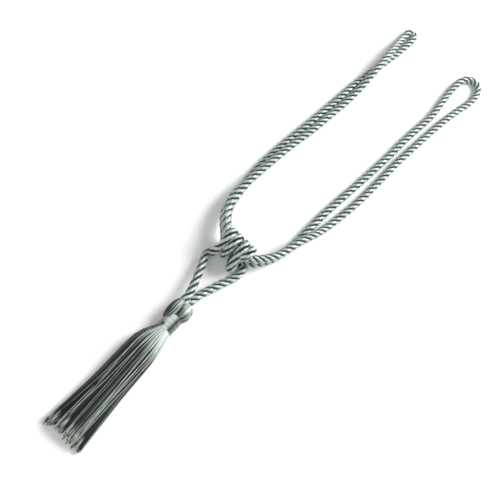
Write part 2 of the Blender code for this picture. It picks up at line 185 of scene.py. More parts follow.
RIGHT_ARM = [
    (ARM_END_X + GAP / 2, KNOT_MIDDLE_Y, UPPER_Z), (-2.6, KNOT_MIDDLE_Y, UPPER_Z),
    (2.2, -55.9, UPPER_Z), (6.6, -53.0, 14.6), (10.8, -47.2, 13.2), (14.6, -39.8, 11.6),
    (17.6, -31.0, 10.2), (19.6, -21.5, 9.3), (21.4, -12.5, 8.8), (24.2, -3.0, 7.4),
    (27.2, 9.0, 4.4), (29.2, 21.0, FLOOR_Z), (31.4, 38.0, FLOOR_Z), (33.1, 58.0, FLOOR_Z),
    (33.9, 80.0, FLOOR_Z), (34.4, 104.0, FLOOR_Z), (35.7, 127.0, FLOOR_Z),
    (37.3, 149.0, FLOOR_Z), (39.3, 171.0, FLOOR_Z), (42.2, 191.0, FLOOR_Z),
    (44.9, 207.0, FLOOR_Z), (45.0, 217.5, FLOOR_Z), (42.0, 225.0, FLOOR_Z),
    (36.6, 227.8, FLOOR_Z), (30.6, 224.6, FLOOR_Z), (27.3, 216.0, FLOOR_Z),
    (26.8, 202.0, FLOOR_Z), (28.0, 184.0, FLOOR_Z), (29.2, 166.0, FLOOR_Z),
    (28.0, 147.0, FLOOR_Z), (26.7, 128.0, FLOOR_Z), (26.1, 106.0, FLOOR_Z),
    (24.9, 84.0, FLOOR_Z), (23.4, 62.0, FLOOR_Z), (21.6, 40.0, FLOOR_Z), (20.3, 20.0, FLOOR_Z),
    (19.9, 3.0, FLOOR_Z), (19.9, -9.0, FLOOR_Z), (19.1, -20.0, 3.2), (17.2, -31.5, 4.1),
    (14.2, -40.9, 5.7), (10.9, -48.2, 7.3), (7.0, -53.9, 8.5), (2.6, -56.1, LOWER_Z),
    (-2.6, KNOT_MIDDLE_Y, LOWER_Z), (ARM_END_X + GAP / 2, KNOT_MIDDLE_Y, LOWER_Z),
]
print("the arms have", len(LEFT_ARM), "and", len(RIGHT_ARM), "route points")

# %% The two legs of the hanging rope
LEFT_LEG = [  # from the head up to the knot
    (-7.9, -110.6, 9.9), (-8.3, -105.0, 9.7), (-10.0, -98.0, 9.0), (-12.8, -89.0, 7.8),
    (-15.7, -80.6, 6.2), (-18.1, -74.1, 4.8), (-18.9, -69.4, 4.8), (-17.1, -66.5, 7.0),
]
RIGHT_LEG = [  # from the knot down to the head
    (4.4, -57.2, 3.4), (6.0, -61.0, 3.8), (6.0, -65.6, 3.3), (4.8, -70.8, FLOOR_Z),
    (2.7, -77.0, FLOOR_Z), (0.8, -83.6, 3.0), (-2.0, -92.6, 3.2), (-3.8, -101.0, 3.6),
    (-4.4, -110.6, 4.1),
]
print("the legs have", len(LEFT_LEG), "and", len(RIGHT_LEG), "route points")

# %% [markdown]
# ## The turns of the knot
#
# On the real tieback the hanging rope is pulled tight round both arms. A simulation could pull a
# knot tight, but it seldom settles as one particular knot did. So the turns follow a rule: each
# one goes round two stacked ropes on an outline like a racetrack. A table says where each turn
# lies in front, on top and at the back. That presses the turns together and fans them out as on
# the real knot, while in the plain solid they stand a little apart. The third turn is slack and
# hangs out in front of the others.

# %% The knot's table
TURNS = [  # x in front, on top and at the back, and how far it hangs out (below 0: drawn in), mm
    {"front": -16.3, "top": -16.5, "back": -15.6, "hangs": 1.8},
    {"front": -10.9, "top": -11.2, "back": -10.2, "hangs": 0.8},
    {"front": -2.9, "top": -4.2, "back": -5.0, "hangs": 5.6},
    {"front": -1.2, "top": 1.4, "back": 1.0, "hangs": -3.2},
]
KNOT_PITCH = 6.2  # from the last turn's back to where the next one would come up, mm
TURN_STATIONS = 10  # points in a turn
QUARTER = 0.25  # of a turn: it is on top here, and at the back after two of them
CROSSING = 0.38  # share of a turn in which it goes over to the next one's place
HANGS_FROM = 0.7  # share of a turn after which it hangs towards the front
HANGS_OVER = 0.3
HANG_DRIFT = 0.3  # a turn that hangs out moves this much right, for each millimetre
HANG_DROP = 0.35  # and sinks this much
print("the knot has", len(TURNS), "turns of", TURN_STATIONS, "points")

# %% The turns' points


def racetrack(share):
    """A turn's outline round two stacked ropes, as (forward, up) from the knot's middle."""
    arc = math.pi * STACK
    run = (share % 1.0) * 2 * (STACK + arc)
    if run < STACK / 2:
        return -STACK, run
    run -= STACK / 2
    if run < arc:
        return -STACK * math.cos(run / STACK), STACK / 2 + STACK * math.sin(run / STACK)
    run -= arc
    if run < STACK:
        return STACK, STACK / 2 - run
    run -= STACK
    if run < arc:
        return STACK * math.cos(run / STACK), -STACK / 2 - STACK * math.sin(run / STACK)
    return -STACK, run - arc - STACK / 2


def between(low, high, share):
    """A number that leaves low gently and arrives at high gently, as share goes from 0 to 1."""
    return low + (high - low) * share * share * (3 - 2 * share)


def knot_turns():
    """Route points of the turns: up over the top, down the back and under to the next turn."""
    points = []
    for index, turn in enumerate(TURNS):
        last = index == len(TURNS) - 1
        next_front = turn["back"] + KNOT_PITCH if last else TURNS[index + 1]["front"]
        next_hangs = 0.0 if last else TURNS[index + 1]["hangs"]
        for station in range(TURN_STATIONS):
            share = station / TURN_STATIONS
            if last and share > 3 * QUARTER:
                break
            if share < QUARTER:
                x = between(turn["front"], turn["top"], share / QUARTER)
                hangs = turn["hangs"] * (1 - share / QUARTER) ** 2
            elif share < 2 * QUARTER:
                x = between(turn["top"], turn["back"], (share - QUARTER) / QUARTER)
                hangs = 0.0
            else:
                x = between(turn["back"], next_front, min(1.0, (share - 2 * QUARTER) / CROSSING))
                hangs = between(0.0, next_hangs, max(0.0, (share - HANGS_FROM) / HANGS_OVER))
            forward, up = racetrack(share)
            y = KNOT_MIDDLE_Y + forward - hangs
            points.append((x + HANG_DRIFT * hangs, y, KNOT_MIDDLE_Z + up - HANG_DROP * hangs))
    return points


HANGING_ROPE = LEFT_LEG + knot_turns() + RIGHT_LEG
print("the hanging rope has", len(HANGING_ROPE), "route points")

# %% [markdown]
# ## From points to a smooth line
#
# A rope bends gently, so its line has to pass through every point without a corner. Blender's
# curve objects can do that too, but the strands have to be laid round the line, and that needs
# its points as numbers. So the line is worked out here as an array: between two points it is a
# cubic curve that keeps the directions at both. Then it is read again at even steps, because the
# strands turn by the same angle at each step.

# %% Smooth lines


def smooth_curve(route, steps=16):
    """Points in millimetres along a cubic curve through every point of the route."""
    points = np.array(route, float)
    ends = np.vstack([2 * points[0] - points[1], points, 2 * points[-1] - points[-2]])
    t = (np.arange(steps) / steps)[None, :, None]
    a, b, c, d = (ends[i : len(ends) - 3 + i, None, :] for i in range(4))
    curve = 0.5 * (
        2 * b + (c - a) * t + (2 * a - 5 * b + 4 * c - d) * t**2 + (3 * b - a - 3 * c + d) * t**3
    )
    return np.vstack([curve.reshape(-1, 3), points[-1:]])


def evenly(curve, spacing):
    """The curve read again at equal steps, and how far along each point lies."""
    lengths = np.concatenate([[0], np.cumsum(np.linalg.norm(np.diff(curve, axis=0), axis=1))])
    along = np.linspace(0, lengths[-1], max(2, round(lengths[-1] / spacing)) + 1)
    return np.stack([np.interp(along, lengths, curve[:, i]) for i in range(3)], axis=1), along


def route_length(route):
    """The length of a route's smooth line, in millimetres."""
    return evenly(smooth_curve(route), 1.0)[1][-1]


ROUTES = {"left arm": LEFT_ARM, "right arm": RIGHT_ARM, "hanging rope": HANGING_ROPE}
for title, route in ROUTES.items():
    print("the", title, "is", round(route_length(route)), "mm long")

# %% [markdown]
# ## From a line to a tube
#
# A tube is a row of rings along a line, with quads between them and a cap at each end. Each ring
# needs two directions across the line. They are carried along from ring to ring without turning,
# because directions that are set afresh at each point would add twist of their own and spoil the
# rope's even lay. Everything is done with arrays, as there are many rings.

# %% Directions and faces


def unit(vectors):
    return vectors / np.linalg.norm(vectors, axis=-1, keepdims=True)


def frames(line):
    """Two directions across the line at each point, carried along it without turning."""
    ahead = unit(np.gradient(line, axis=0))
    side = np.empty_like(line)
    carried = np.array([0.0, 0.0, 1.0])
    for i, direction in enumerate(ahead):
        carried = carried - direction * carried.dot(direction)
        carried /= np.linalg.norm(carried)
        side[i] = carried
    return side, np.cross(ahead, side)


def tube_faces(rings, sides, first=0):
    """Quads between the rings of one tube, and a cap at each end."""
    i, j = np.meshgrid(np.arange(rings - 1), np.arange(sides), indexing="ij")
    after = (j + 1) % sides
    low, high = first + i * sides, first + (i + 1) * sides
    quads = np.stack([low + j, low + after, high + after, high + j], axis=-1).reshape(-1, 4)
    caps = [
        list(range(first + sides - 1, first - 1, -1)),
        list(range(first + (rings - 1) * sides, first + rings * sides)),
    ]
    return quads.tolist() + caps


print("a tube of 10 rings with 5 sides has", len(tube_faces(10, 5)), "faces")

# %% [markdown]
# ## One object from many tubes
#
# Ropes and tassels are bundles of tubes. An object for each thread would make a long and slow
# scene, so one helper turns a list of tubes into one mesh. Each corner gets a UV place, round the
# thread and along it, so that the fibres of the material can follow the thread. Each point also
# carries two numbers. "shade" tells one thread from the next, and it also carries painted
# highlight and shade. "deep" says how far inside a groove of the bundle, or in the shade of other
# parts, it lies, and the material turns it into painted shade.

# %% Build a mesh from tubes
UV_MM = 10.0  # one unit of the UV map is this many millimetres


def write_numbers(mesh, numbers):
    """Store named arrays of numbers, one for each point, as the mesh's attributes."""
    for title, values in numbers.items():
        attribute = mesh.attributes.new(title, "FLOAT", "POINT")
        attribute.data.foreach_set("value", values.astype(np.float32))


def bundle_mesh(name, tubes, material):
    """One object from tubes. Each is a dict with its points (rings, sides, 3) and radius in mm,
    how far along each ring lies, and the shade and depth of its points."""
    verts, faces, uvs, shades, deeps = [], [], [], [], []
    first = 0
    for tube in tubes:
        points = tube["points"]
        rings, sides = points.shape[:2]
        verts.append(points.reshape(-1, 3))
        faces.extend(tube_faces(rings, sides, first))
        round_mm = 2 * math.pi * tube["radius"]
        j = np.tile(np.arange(sides), rings - 1)
        low = np.repeat(tube["along"][:-1], sides)
        high = np.repeat(tube["along"][1:], sides)
        u0, u1 = j * round_mm / sides, (j + 1) * round_mm / sides
        uvs.append(np.stack([u0, low, u1, low, u1, high, u0, high], axis=-1).reshape(-1, 2))
        uvs.append(np.zeros((2 * sides, 2)))  # the two caps
        shades.append(np.broadcast_to(tube["shade"], (rings, sides)).reshape(-1))
        deeps.append(np.broadcast_to(tube["deep"], (rings, sides)).reshape(-1))
        first += rings * sides
    places = (np.vstack(verts) - np.array(PLAN_MIDDLE)) * MM
    mesh = bpy.data.meshes.new(name)
    mesh.from_pydata(places.tolist(), [], faces)
    layer = mesh.uv_layers.new(name="UVMap")
    layer.data.foreach_set("uv", np.vstack(uvs).reshape(-1) / UV_MM)
    write_numbers(mesh, {"shade": np.concatenate(shades), "deep": np.concatenate(deeps)})
    mesh.shade_smooth()
    mesh.materials.append(material)
    piece = bpy.data.objects.new(name, mesh)
    bpy.context.scene.collection.objects.link(piece)
    print(name, "has", len(tubes), "tubes and", len(faces), "faces")
    return piece


print("one unit of the UV map is", UV_MM, "mm")

# %% [markdown]
# ## The yarn's material
#
# The whole tieback is viscose satin yarn, dyed sage green. Viscose filaments are smooth and lie
# side by side, so the yarn shines, and its colour is broken up by fine lines along the fibre. An
# image of yarn could be laid on it, but it would be blurred close by and stretched at the bends.
# Here a noise that is drawn out along the UV map makes the fibres. It is mixed with the thread's
# own shade, which also carries painted light and shade, and read off a colour ramp from dark to
# light. A second ramp reads the depth and paints the shade: light that falls between two strands
# is lost there, so grooves end almost black-green.

# %% One function that adds a node


def add_node(tree, kind, settings=None, values=None, links=None):
    """A node with its own settings, its sockets' values, and links into its sockets."""
    node = tree.nodes.new(kind)
    for key, value in (settings or {}).items():
        setattr(node, key, value)
    for socket, value in (values or {}).items():
        node.inputs[socket].default_value = value
    for socket, source in (links or {}).items():
        tree.links.new(source, node.inputs[socket])
    return node


print("a node can be added with its settings, values and links")

# %% How satin yarn is built up
VISCOSE_IOR = 1.55  # viscose has 1.52 to 1.55
SHEEN_ROUGHNESS = 0.4
FIBRE_RUN = 40  # a fibre shows for this many times its width before the noise changes
FIBRE_DETAIL = 3.0
FIBRE_SHARE = 0.5  # the fibres' part in the colour; the thread's own shade has the rest
RELIEF = 0.6
DYE_PLACES = (0.2, 0.5, 0.85)  # of the dark, the body and the light colour
# The groove ramp paints shade onto a thread, from its crest down into the grooves.
GROOVE_STOPS = [(0.12, "#FFFFFF"), (0.28, "#9CA9A2"), (0.68, "#14211C")]  # depth and colour


def satin_yarn(
    name, dark, body, light, roughness, fibre_mm, bump_mm, sheen, gloss=1.0, crest="#FFFFFF"
):
    """Viscose satin: fibres run along the UV map's second direction, fibre_mm apart."""
    material = bpy.data.materials.new(name)
    material.use_nodes = True
    tree = material.node_tree
    uv = add_node(tree, "ShaderNodeUVMap", {"uv_map": "UVMap"})
    fine = add_node(
        tree,
        "ShaderNodeMapping",
        values={"Scale": (UV_MM / fibre_mm, UV_MM / (FIBRE_RUN * fibre_mm), 1.0)},
        links={"Vector": uv.outputs["UV"]},
    )
    fibres = add_node(
        tree,
        "ShaderNodeTexNoise",
        values={"Scale": 1.0, "Detail": FIBRE_DETAIL},
        links={"Vector": fine.outputs["Vector"]},
    )
    shade = add_node(tree, "ShaderNodeAttribute", {"attribute_name": "shade"})
    deep = add_node(tree, "ShaderNodeAttribute", {"attribute_name": "deep"})
    mottle = add_node(
        tree,
        "ShaderNodeMix",
        {"data_type": "FLOAT"},
        values={0: FIBRE_SHARE},
        links={2: fibres.outputs["Fac"], 3: shade.outputs["Fac"]},
    )
    dyed = add_node(tree, "ShaderNodeValToRGB", links={"Fac": mottle.outputs[0]})
    groove = add_node(tree, "ShaderNodeValToRGB", links={"Fac": deep.outputs["Fac"]})
    dye_stops = list(zip(DYE_PLACES, (dark, body, light)))
    for node, stops in ((dyed, dye_stops), (groove, [(0.0, crest)] + GROOVE_STOPS)):
        stops_there = node.color_ramp.elements
        for index, (place, colour) in enumerate(stops):
            stop = stops_there[index] if index < 2 else stops_there.new(place)
            stop.position = place
            stop.color = linear(colour)
    grooved = add_node(
        tree,
        "ShaderNodeMix",
        {"data_type": "RGBA", "blend_type": "MULTIPLY"},
        values={0: 1.0},
        links={6: dyed.outputs["Color"], 7: groove.outputs["Color"]},
    )
    relief = add_node(
        tree,
        "ShaderNodeBump",
        values={"Strength": RELIEF, "Distance": bump_mm * MM},
        links={"Height": fibres.outputs["Fac"]},
    )
    shader = tree.nodes["Principled BSDF"]
    tree.links.new(grooved.outputs[2], shader.inputs["Base Color"])
    tree.links.new(relief.outputs["Normal"], shader.inputs["Normal"])
    shader.inputs["Roughness"].default_value = roughness
    shader.inputs["IOR"].default_value = VISCOSE_IOR
    shader.inputs["Specular IOR Level"].default_value = gloss
    shader.inputs["Sheen Weight"].default_value = sheen
    shader.inputs["Sheen Roughness"].default_value = SHEEN_ROUGHNESS
    print("made", name, "with", len(tree.nodes), "nodes")
    return material


print("a fibre shows for", FIBRE_RUN, "times its width")

# %% [markdown]
# ## Four finishes of one yarn
#
# The yarn is the same all over, but it is laid, folded, wound or left loose, and each of these
# throws the light back in its own way. So there are four materials from one recipe, whose colours
# are painted lighter or darker to stand in for that light and shade. A viscose filament is about
# 0.02 mm thick, far too fine to show from this far, so the fibres are drawn 0.12 to 0.18 mm apart,
# which is as coarse as they need to be to show.

# %% The four finishes
# Yarn laid into a tight rope. It gives the eye pale strands with a soft gleam along each. The
# crest's colour is held back a little, because the gloss is added on top of it.
SATIN_ROPE = satin_yarn(
    "satin_viscose_rope",
    dark="#97A59F",
    body="#C8D6D0",
    light="#E4EFEA",
    roughness=0.32,
    fibre_mm=0.18,
    bump_mm=0.10,
    sheen=0.10,
    crest="#CDD6D1",
)
# Yarn that hangs loose. Its fibres have opened and swallow light between them, so it gives the eye
# a dark green with pale single yarns, and only a weak gloss. Its dark colours are that shade,
# painted onto the same yarn as the rope's.
SKIRT_YARN = satin_yarn(
    "satin_viscose_yarn",
    dark="#1A201D",
    body="#454F49",
    light="#DFEBE2",
    roughness=0.32,
    fibre_mm=0.15,
    bump_mm=0.06,
    sheen=0.02,
    gloss=0.3,
)
# Yarn drawn smooth over a fold. It gives the eye a silvery curve that darkens towards its edges.
HEAD_YARN = satin_yarn(
    "satin_viscose_folded_yarn",
    dark="#2C3630",
    body="#87948B",
    light="#E4EFE6",
    roughness=0.30,
    fibre_mm=0.15,
    bump_mm=0.06,
    sheen=0.10,
    gloss=0.6,
)
# Fine floss, wound close and under tension. It is the smoothest of the four, and gives the eye one
# narrow bright gleam across all of its turns, partly from its gloss and partly as a highlight
# painted on its points.
WOUND_FLOSS = satin_yarn(
    "wound_viscose_floss",
    dark="#434E46",
    body="#8F9C92",
    light="#DCE8DE",
    roughness=0.24,
    fibre_mm=0.12,
    bump_mm=0.05,
    sheen=0.10,
)
print("the tieback has four finishes of one yarn")

# %% [markdown]
# ## Laying up a rope
#
# The rope is laid right-handed from four strands, and each strand is itself a bundle of yarns
# twisted the other way, so that the yarns on its back run almost straight along the rope. One
# round tube with a twisted pattern would be quicker, but its outline would be smooth where the
# real rope's is wavy. So each strand is swept as a tube of its own round the rope's line. Its
# section is a little wider than high, because the strands press on each other, and six yarns
# show on it with a fine groove between each two.

# %% The strands' sizes, in millimetres
STRANDS = 4
STRAND_OFFSET = 1.84  # from the rope's middle to a strand's middle
STRAND_HIGH = 1.26  # half of the strand's section, towards the rope's outside
STRAND_WIDE = 1.30  # and across it
RINGS_PER_LAY = 32
YARNS = 6  # that show on a strand
SIDES_PER_YARN = 3
YARN_LAY = -16.0  # a strand's own twist, the other way round
YARN_GROOVE = 0.10  # of the strand's radius
print("the strands reach", round(2 * (STRAND_OFFSET + STRAND_HIGH), 2), "mm across the rope")

# %% The strands' light and shade
STRAND_SHADE = 0.5  # from 0 for the dye's dark colour to 1 for its light one
STRAND_DIFFERS = 0.05  # one strand's shade from the next one's
GROOVE_FROM = 2.96  # nearer to the rope's middle than this, a strand's side is in shade, mm
GROOVE_DEPTH = 0.72  # over which it gets fully dark, mm
YARN_SHADE = 0.22  # extra, between two yarns
KNOT_WIDE = 1.04  # the knot's turns are pressed flat against each other
KNOT_LIT_FROM = 7.5  # mm above the table; lower down, the knot's turns shade each other
KNOT_SHADE = 0.5
# The knot's gleam is a painted highlight on its strands.
KNOT_GLEAM = 0.55  # the strands are pulled tight there, and shine
print("a groove is darkest", round(GROOVE_FROM - GROOVE_DEPTH, 2), "mm from the rope's middle")

# %% Sweep the strands


def strand_rings(line, out, along):
    """The rings of one strand, which lies off the rope's line in the direction out."""
    middle = line + out * STRAND_OFFSET
    ahead = unit(np.gradient(middle, axis=0))
    high = unit(out - ahead * (out * ahead).sum(axis=1, keepdims=True))
    wide = np.cross(ahead, high)
    corner = np.arange(YARNS * SIDES_PER_YARN)
    radial = np.where(corner % SIDES_PER_YARN == 0, 1 - YARN_GROOVE, 1.0)
    around = 2 * math.pi * (corner[None, :] / len(corner) + along[:, None] / YARN_LAY)
    up = (radial * np.cos(around) * STRAND_HIGH)[:, :, None]
    over = (radial * np.sin(around) * STRAND_WIDE)[:, :, None]
    return middle[:, None, :] + up * high[:, None, :] + over * wide[:, None, :]


def depth_in_rope(points, line, inside):
    """How deep each point of a strand lies in a groove, or low in the knot, from 0 to 1."""
    reach = np.linalg.norm(points - line[:, None, :], axis=2)
    in_groove = np.arange(points.shape[1]) % SIDES_PER_YARN == 0
    # The material turns this into painted shade, in the grooves and low in the knot.
    deep = (GROOVE_FROM - reach) / GROOVE_DEPTH + YARN_SHADE * in_groove
    low = np.clip(1 - points[:, :, 2] / KNOT_LIT_FROM, 0, 1) * inside[:, None]
    return np.clip(np.clip(deep, 0.0, 1.0) + KNOT_SHADE * low, 0.0, 1.0)


def strand_tubes(route, knotted=None, twist=None, widened=None):
    """The four strands along a route. The last three give a number for each point of a line."""
    line, along = evenly(smooth_curve(route), ROPE_LAY / RINGS_PER_LAY)
    side, across = frames(line)
    inside = knotted(line) if knotted else np.zeros(len(line))
    wider = widened(line) if widened else 1 + (KNOT_WIDE - 1) * inside
    turned = np.cumsum(twist(line) if twist else np.ones(len(line))) / RINGS_PER_LAY
    tubes = []
    for strand in range(STRANDS):
        angle = 2 * math.pi * (turned + strand / STRANDS)[:, None]
        points = strand_rings(line, np.cos(angle) * side + np.sin(angle) * across, along)
        deep = depth_in_rope(points, line, inside)
        points[:, :, 0] = line[:, None, 0] + (points[:, :, 0] - line[:, None, 0]) * wider[:, None]
        points[:, :, 2] = np.maximum(points[:, :, 2], 0.0)
        lighter = STRAND_DIFFERS * (strand - (STRANDS - 1) / 2)
        # painted highlight on the strands inside the knot
        shade = STRAND_SHADE + lighter + KNOT_GLEAM * inside[:, None]
        tubes.append(
            {"points": points, "along": along, "radius": STRAND_HIGH, "shade": shade, "deep": deep}
        )
    return tubes, line


print("a short rope has", len(strand_tubes([(0, 0, 9), (0, 20, 9), (0, 40, 9)])[0]), "strands")

# %% [markdown]
# ## Where a rope isn't its usual self
#
# A rope that is bent round a tight turn loses some of its twist, so the strands run straighter in
# the knot and in the left leg. Inside the knot the turns lie in each other's shade near the
# table. And where the left arm comes to the knot, its upper rope lies flat over the lower one and
# is pressed wide. A soft-body simulation could find this out, but it would move everything else
# as well. A few rules that look at where each point of the line lies do it with no surprises.

# %% Rules along a rope's line, in plan millimetres
KNOT_REACH = 2.3 * STACK  # from the knot's middle, along the tieback
KNOT_UNLAID = 0.28  # share of the twist that goes out of the rope in the knot
LEG_UNLAID = 0.18  # and out of the left leg
LEFT_LEG_X = -6.0  # the left leg lies left of this
RIGHT_LEG_X = 2.5  # the right leg lies right of this
RIGHT_LEG_Y = -57.5  # and below this
PRESSED_BELOW_Y = -14.0
PRESSED_ABOVE_Z = 9.2
PRESSED_WIDE = 1.38
KNOT_EDGE = 9  # rings over which the knot's rules set in
PRESSED_EDGE = 25


def softened(chosen, rings):
    """A choice of points as numbers from 0 to 1, with an edge that is so many rings soft."""
    return np.convolve(chosen.astype(float), np.ones(rings) / rings, mode="same")


def in_the_knot(line):
    """From 0 to 1, how far each point lies in the knot."""
    near = np.abs(line[:, 1] - KNOT_MIDDLE_Y) < KNOT_REACH
    near &= (line[:, 0] < RIGHT_LEG_X) | (line[:, 1] > RIGHT_LEG_Y)
    return softened(near, KNOT_EDGE)


def twist_kept(line):
    """How much of its usual twist the hanging rope has at each point."""
    leg = (line[:, 1] < KNOT_MIDDLE_Y - KNOT_REACH) & (line[:, 0] < LEFT_LEG_X)
    return 1 - KNOT_UNLAID * in_the_knot(line) - LEG_UNLAID * leg


def pressed_wide(line):
    """How much wider the left arm's upper rope is, where it lies flat on the lower one."""
    pressed = (line[:, 1] < PRESSED_BELOW_Y) & (line[:, 2] > PRESSED_ABOVE_Z)
    return 1 + (PRESSED_WIDE - 1) * softened(pressed, PRESSED_EDGE)


print("the knot reaches", round(KNOT_REACH, 1), "mm up and down the tieback from its middle")

# %% The three ropes
INTO_HEAD = [(-6.9, -114.0, 8.6)]  # the hanging rope's ends go on into the head's middle
OUT_OF_HEAD = [(-4.9, -114.0, 5.4)]
THROUGH = INTO_HEAD + HANGING_ROPE + OUT_OF_HEAD


def lay_rope(name, node, route, knotted=None, twist=None, widened=None):
    """A rope along the route, in place of the plain one."""
    tubes, line = strand_tubes(route, knotted, twist, widened)
    piece = bundle_mesh(name, tubes, SATIN_ROPE)
    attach(piece, "root")
    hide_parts(node)


lay_rope("left_arm", "arm_rope_left", LEFT_ARM, widened=pressed_wide)
lay_rope("right_arm", "arm_rope_right", RIGHT_ARM)
lay_rope("hanging_rope_with_knot", "hanging_rope", THROUGH, in_the_knot, twist_kept)

# %% [markdown]
# ## The tassel's head
#
# A tassel starts as a hank of yarn that is passed through the rope, folded in half and bound a
# little below the fold. So its head is not a turned ball but yarn lying lengthwise over a fold.
# Here it has fallen into two thick lobes with a dark cleft between them, and the right one hangs
# over the band. A ball with a bump pattern would look carved, and hair strands don't go into an
# exported model. So each lobe is a ring of thin tubes that run from pole to pole of an egg shape,
# and a few loose yarns stand off the right one's side.

# %% Thin tubes


def thread_tube(line, radius, sides, shade, taper=None, deep=0.0):
    """A thin tube along a line of points in mm. taper, shade and deep may differ along it."""
    along = np.concatenate([[0], np.cumsum(np.linalg.norm(np.diff(line, axis=0), axis=1))])
    side, across = frames(line)
    angle = 2 * math.pi * np.arange(sides) / sides
    cos, sin = np.cos(angle)[None, :, None], np.sin(angle)[None, :, None]
    size = radius * (taper if taper is not None else np.ones(len(line)))
    ring = cos * side[:, None, :] + sin * across[:, None, :]
    points = line[:, None, :] + size[:, None, None] * ring
    points[:, :, 2] = np.maximum(points[:, :, 2], 0.0)
    shade = np.reshape(shade, (-1, 1))
    deep = np.reshape(deep, (-1, 1))
    return {"points": points, "along": along, "radius": radius, "shade": shade, "deep": deep}


two_points = np.array([(0.0, 0.0, 5.0), (0.0, 9.0, 5.0)])
print("a thread has rings and sides", thread_tube(two_points, 1.0, 5, 0.5)["points"].shape[:2])

# %% The lobes
LOBES = {  # middle x, y, z and half width, half length, half height
    "left": (-7.9, -118.2, 6.9, 4.6, 9.6, 6.7),
    "right": (-2.8, -116.4, 7.3, 5.0, 7.4, 6.5),
}
LOBE_YARNS = 74
LOBE_STATIONS = 15
LOBE_SIDES = 5
HEAD_YARN_RADIUS = 0.34
LOBE_START = 0.03  # a yarn starts at this share of the way from pole to pole
LOBE_SPAN = 0.94  # and covers this much of it
LOBE_FULLNESS = 0.82  # below 1 the lobe is fuller than an egg
CLEFT_REACH = 0.22  # how far from the other lobe the cleft's shade ends, of that lobe's size


def lobe_yarn(lobe, degrees, lift, lean):
    """A line over the lobe from its top end to its lower end."""
    x, y, z, wide, long, high = lobe
    line = []
    for step in range(LOBE_STATIONS):
        turn = math.pi * (LOBE_START + LOBE_SPAN * step / (LOBE_STATIONS - 1))
        reach = math.sin(turn) ** LOBE_FULLNESS * (1 + lift)
        angle = math.radians(degrees + lean * math.cos(turn))
        line.append(
            (
                x + wide * reach * math.cos(angle),
                y + long * math.cos(turn),
                max(z + high * reach * math.sin(angle), HEAD_YARN_RADIUS),
            )
        )
    return np.array(line)


def in_cleft(line, other):
    """How deep each point lies in the cleft beside the other lobe, from 0 to 1."""
    scaled = (line - np.array(other[:3])) / np.array(other[3:])
    return np.clip(1 - (np.linalg.norm(scaled, axis=1) - 1) / CLEFT_REACH, 0, 1)


print("a lobe is built from", LOBE_YARNS, "yarns of", LOBE_STATIONS, "rings")

# %% The head's yarns
YARN_ASIDE = (-0.3, 0.3)  # of the space between two yarns
YARN_LIFT = (-0.04, 0.01)  # of the lobe's size
YARN_LEAN = (-6, 6)  # degrees
YARN_TONE = (0.1, 1.0)  # each yarn's own shade
CLEFT_SHADE = 0.95
SHADED_YARN_SHARE = 0.35  # of the yarns get painted shade, as if they lay a little lower in the others' shade
SUNK_SHADE = 0.55
PAINTED_SIDE_SHADE = {"left": (-0.3, 0.6), "right": (0.6, 0.1)}  # painted light and shade by side, added at the far left, and at the right
UPPER_SHADE = {"left": 0.25, "right": 0.55}  # painted light added at the upper end, and taken off at the lower one as painted shade
LOOSE_YARNS = 5
LOOSE_DEGREES = (-10, 40)  # from the table's right, round over the top
LOOSE_LIFT = (0.06, 0.20)
LOOSE_LEAN = (-10, 10)
LOOSE_RADIUS = 0.16
LOOSE_TONE = 0.2


def make_head():
    """Two lobes of yarn, and the loose yarns at the right one's side."""
    rng = random.Random(3)
    tubes = []
    down_the_lobe = np.cos(np.linspace(0, math.pi, LOBE_STATIONS))
    for name, lobe in LOBES.items():
        other = LOBES["right" if name == "left" else "left"]
        for index in range(LOBE_YARNS):
            degrees = 360 * (index + rng.uniform(*YARN_ASIDE)) / LOBE_YARNS
            line = lobe_yarn(lobe, degrees, rng.uniform(*YARN_LIFT), rng.uniform(*YARN_LEAN))
            # Painted shade: a share of the yarns is darkened as if it lay lower, and all darken
            # into the cleft.
            sunk = SUNK_SHADE * (rng.random() < SHADED_YARN_SHARE)
            deep = np.maximum(CLEFT_SHADE * in_cleft(line, other), sunk)
            from_left = abs(degrees % 360 - 180) / 180
            # Painted light and shade by the yarn's side of the lobe, and along it.
            shade = rng.uniform(*YARN_TONE) + between(*PAINTED_SIDE_SHADE[name], from_left)
            shade = shade + UPPER_SHADE[name] * down_the_lobe
            tubes.append(thread_tube(line, HEAD_YARN_RADIUS, LOBE_SIDES, shade, deep=deep))
    for _ in range(LOOSE_YARNS):
        degrees = rng.uniform(*LOOSE_DEGREES)
        lift, lean = rng.uniform(*LOOSE_LIFT), rng.uniform(*LOOSE_LEAN)
        line = lobe_yarn(LOBES["right"], degrees, lift, lean)
        tubes.append(thread_tube(line[2:-2], LOOSE_RADIUS, LOBE_SIDES, LOOSE_TONE))
    return bundle_mesh("tassel_head", tubes, HEAD_YARN)


head = make_head()
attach(head, "root")
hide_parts("tassel_yarn")

# %% [markdown]
# ## The head's inside
#
# A real head is solid with yarn. Nothing of its inside shows but a little of the same yarn in the
# gaps between two threads, so hundreds of hidden threads would be wasted. A ball from Blender's
# menu, drawn out lengthwise until it fills both lobes, closes the gaps from within.

# %% The round body inside the head
HEAD_BODY_PLACE = (-4.6, -118.3, 6.6)
HEAD_BODY_HALF = (5.0, 8.6, 4.6)


def select_none():
    for obj in bpy.context.selected_objects:
        obj.select_set(False)


